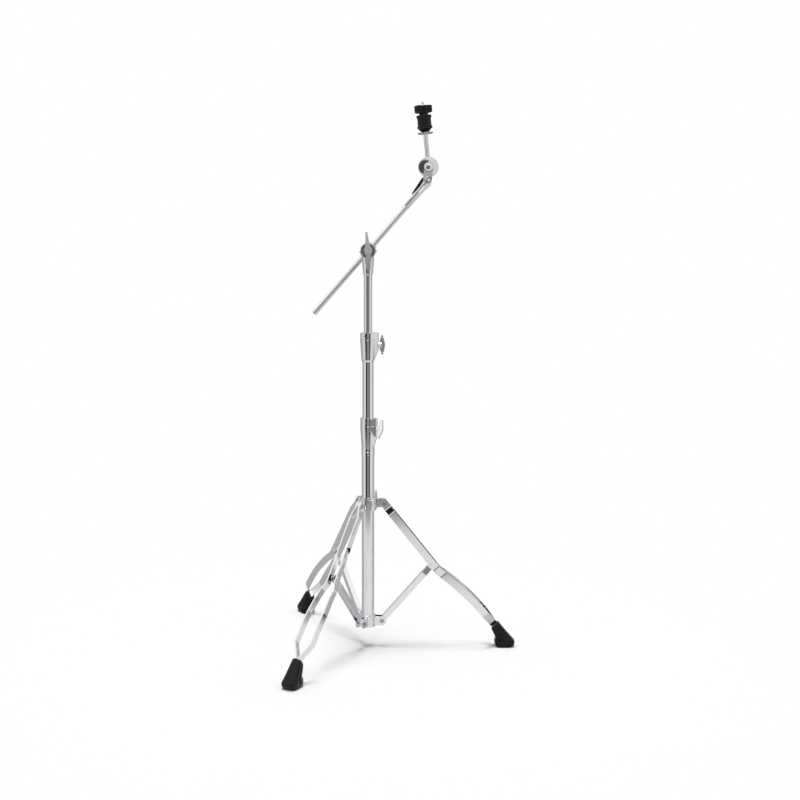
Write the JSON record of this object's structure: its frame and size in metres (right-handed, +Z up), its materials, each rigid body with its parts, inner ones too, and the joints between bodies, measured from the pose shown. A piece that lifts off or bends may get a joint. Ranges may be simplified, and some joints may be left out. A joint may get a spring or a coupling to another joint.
{
  "type": "cymbal boom stand",
  "caption": "Folding tripod stand with a telescopic column and a tilting, sliding boom that carries a cymbal post between felts on a locking tilter.",
  "frame": {"origin": "on the axis of the column at floor level", "axes": "+Z up the column, +X along the right-hand leg, +Y away from the viewer of the picture"},
  "size_m": [0.5193, 0.5962, 1.2339],
  "materials": {
    "chrome": "mirror chrome plate",
    "satin_cast": "chrome plate on a die casting",
    "rubber": "black moulded rubber",
    "black_plastic": "black nylon",
    "nylon": "natural nylon",
    "brass": "plain brass",
    "felt": "black pressed felt"
  },
  "bodies": {
    "column": {"base_tube": "chrome", "bottom_collar": "satin_cast", "brace_rivets": "chrome", "lower_clamp_body": "satin_cast", "lower_clamp_ferrule": "chrome", "lower_clamp_bush": "nylon", "lower_clamp_pad": "brass"},
    "leg_collar": {"leg_collar": "satin_cast", "leg_rivets": "chrome"},
    "leg_collar_screw": {"leg_collar_screw": "chrome"},
    "leg_right": {"leg_strip_right_front": "chrome", "leg_strip_right_back": "chrome", "cross_rivets_right": "chrome", "foot_right": "rubber"},
    "leg_rear": {"leg_strip_rear_front": "chrome", "leg_strip_rear_back": "chrome", "cross_rivets_rear": "chrome", "foot_rear": "rubber"},
    "leg_left": {"leg_strip_left_front": "chrome", "leg_strip_left_back": "chrome", "cross_rivets_left": "chrome", "foot_left": "rubber"},
    "brace_right": {"brace_right": "chrome", "brace_bushes_right": "black_plastic"},
    "brace_rear": {"brace_rear": "chrome", "brace_bushes_rear": "black_plastic"},
    "brace_left": {"brace_left": "chrome", "brace_bushes_left": "black_plastic"},
    "lower_clamp_screw": {"lower_clamp_screw": "chrome"},
    "lower_memory": {"lower_memory_ring": "chrome", "lower_key_screw": "satin_cast"},
    "middle": {"middle_tube": "chrome", "upper_clamp_body": "satin_cast", "upper_clamp_bush": "nylon", "upper_clamp_pad": "brass"},
    "upper_clamp_screw": {"upper_clamp_screw": "chrome"},
    "upper_memory": {"upper_memory_ring": "chrome", "upper_key_screw": "satin_cast"},
    "upper": {"upper_tube": "chrome", "boom_neck": "satin_cast"},
    "holder": {"rod_holder": "satin_cast", "eye_bolt": "chrome"},
    "boom_wing_nut": {"boom_wing_nut": "chrome"},
    "boom": {"boom_rod": "chrome", "boom_rod_plug": "chrome", "boom_end": "satin_cast", "tilter_cheek_front": "chrome", "tilter_cheek_back": "chrome", "tilter_hub_bolt": "chrome", "cheek_screw": "chrome", "lever_pin": "chrome"},
    "tilter_lever": {"tilter_lever": "black_plastic"},
    "tilter": {"tilter_disc": "satin_cast", "cymbal_post": "chrome", "cup_washer": "chrome", "cymbal_seat": "black_plastic", "lower_felt": "felt"},
    "upper_felt": {"upper_felt": "felt"},
    "cymbal_wing_nut": {"cymbal_wing_nut": "black_plastic"}
  },
  "joints": [
    {"name": "leg_fold", "type": "slide", "parent": "column", "child": "leg_collar", "axis": [0, 0, 1], "range_m": [0, 0.0831]},
    {"name": "leg_right_pivot", "type": "hinge", "parent": "leg_collar", "child": "leg_right", "pos_m": [0.037, 0, 0.335], "axis": [0, 1, 0], "range_deg": [0, 38.48]},
    {"name": "brace_right_pivot", "type": "hinge", "parent": "column", "child": "brace_right", "pos_m": [0.032, 0, 0.061], "axis": [0, 1, 0], "range_deg": [-39.74, 0]},
    {"name": "leg_rear_pivot", "type": "hinge", "parent": "leg_collar", "child": "leg_rear", "pos_m": [-0.0185, 0.03204, 0.335], "axis": [-0.866, -0.5, 0], "range_deg": [0, 38.48]},
    {"name": "brace_rear_pivot", "type": "hinge", "parent": "column", "child": "brace_rear", "pos_m": [-0.016, 0.02771, 0.061], "axis": [-0.866, -0.5, 0], "range_deg": [-39.74, 0]},
    {"name": "leg_left_pivot", "type": "hinge", "parent": "leg_collar", "child": "leg_left", "pos_m": [-0.0185, -0.03204, 0.335], "axis": [0.866, -0.5, 0], "range_deg": [0, 38.48]},
    {"name": "brace_left_pivot", "type": "hinge", "parent": "column", "child": "brace_left", "pos_m": [-0.016, -0.02771, 0.061], "axis": [0.866, -0.5, 0], "range_deg": [-39.74, 0]},
    {"name": "leg_collar_screw_turn", "type": "hinge", "parent": "leg_collar", "child": "leg_collar_screw", "pos_m": [0.01, 0.01732, 0.339], "axis": [0.5, 0.866, 0], "continuous": true},
    {"name": "lower_clamp_screw_turn", "type": "hinge", "parent": "column", "child": "lower_clamp_screw", "pos_m": [0.01732, -0.01, 0.5077], "axis": [0.866, -0.5, 0], "continuous": true},
    {"name": "lower_height", "type": "slide", "parent": "column", "child": "lower_memory", "axis": [0, 0, 1], "range_m": [0, 0.24]},
    {"name": "middle_tube_turn", "type": "hinge", "parent": "lower_memory", "child": "middle", "pos_m": [0, 0, 0.6], "axis": [0, 0, 1], "continuous": true},
    {"name": "upper_clamp_screw_turn", "type": "hinge", "parent": "middle", "child": "upper_clamp_screw", "pos_m": [0.02, 0, 0.6972], "axis": [1, 0, 0], "continuous": true},
    {"name": "upper_height", "type": "slide", "parent": "middle", "child": "upper_memory", "axis": [0, 0, 1], "range_m": [0, 0.22]},
    {"name": "upper_tube_turn", "type": "hinge", "parent": "upper_memory", "child": "upper", "pos_m": [0, 0, 0.8], "axis": [0, 0, 1], "continuous": true},
    {"name": "boom_tilt", "type": "hinge", "parent": "upper", "child": "holder", "pos_m": [0, 0, 0.907], "axis": [0, 1, 0], "range_deg": [-30, 65]},
    {"name": "boom_wing_nut_turn", "type": "hinge", "parent": "holder", "child": "boom_wing_nut", "pos_m": [0, -0.015, 0.907], "axis": [0, 1, 0], "continuous": true},
    {"name": "boom_reach", "type": "slide", "parent": "holder", "child": "boom", "axis": [0.6574, 0, 0.7536], "range_m": [-0.1, 0.14]},
    {"name": "tilter_angle", "type": "hinge", "parent": "boom", "child": "tilter", "pos_m": [0.13463, 0.0168, 1.09251], "axis": [0, 1, 0], "range_deg": [-80, 80]},
    {"name": "tilter_lever_lift", "type": "hinge", "parent": "boom", "child": "tilter_lever", "pos_m": [0.1261, 0.0168, 1.06373], "axis": [0, 1, 0], "range_deg": [0, 55]},
    {"name": "upper_felt_lift", "type": "slide", "parent": "tilter", "child": "upper_felt", "axis": [-0.0976, 0, 0.9952], "range_m": [0, 0.008]},
    {"name": "cymbal_wing_nut_turn", "type": "hinge", "parent": "upper_felt", "child": "cymbal_wing_nut", "pos_m": [0.12255, 0.0168, 1.21572], "axis": [-0.0976, 0, 0.9952], "continuous": true}
  ],
  "couplings": [
    {"joint": "leg_right_pivot", "follows": "leg_fold", "rad_per_m": 8.078},
    {"joint": "brace_right_pivot", "follows": "leg_fold", "rad_per_m": -8.342},
    {"joint": "leg_rear_pivot", "follows": "leg_fold", "rad_per_m": 8.078},
    {"joint": "brace_rear_pivot", "follows": "leg_fold", "rad_per_m": -8.342},
    {"joint": "leg_left_pivot", "follows": "leg_fold", "rad_per_m": 8.078},
    {"joint": "brace_left_pivot", "follows": "leg_fold", "rad_per_m": -8.342}
  ]
}
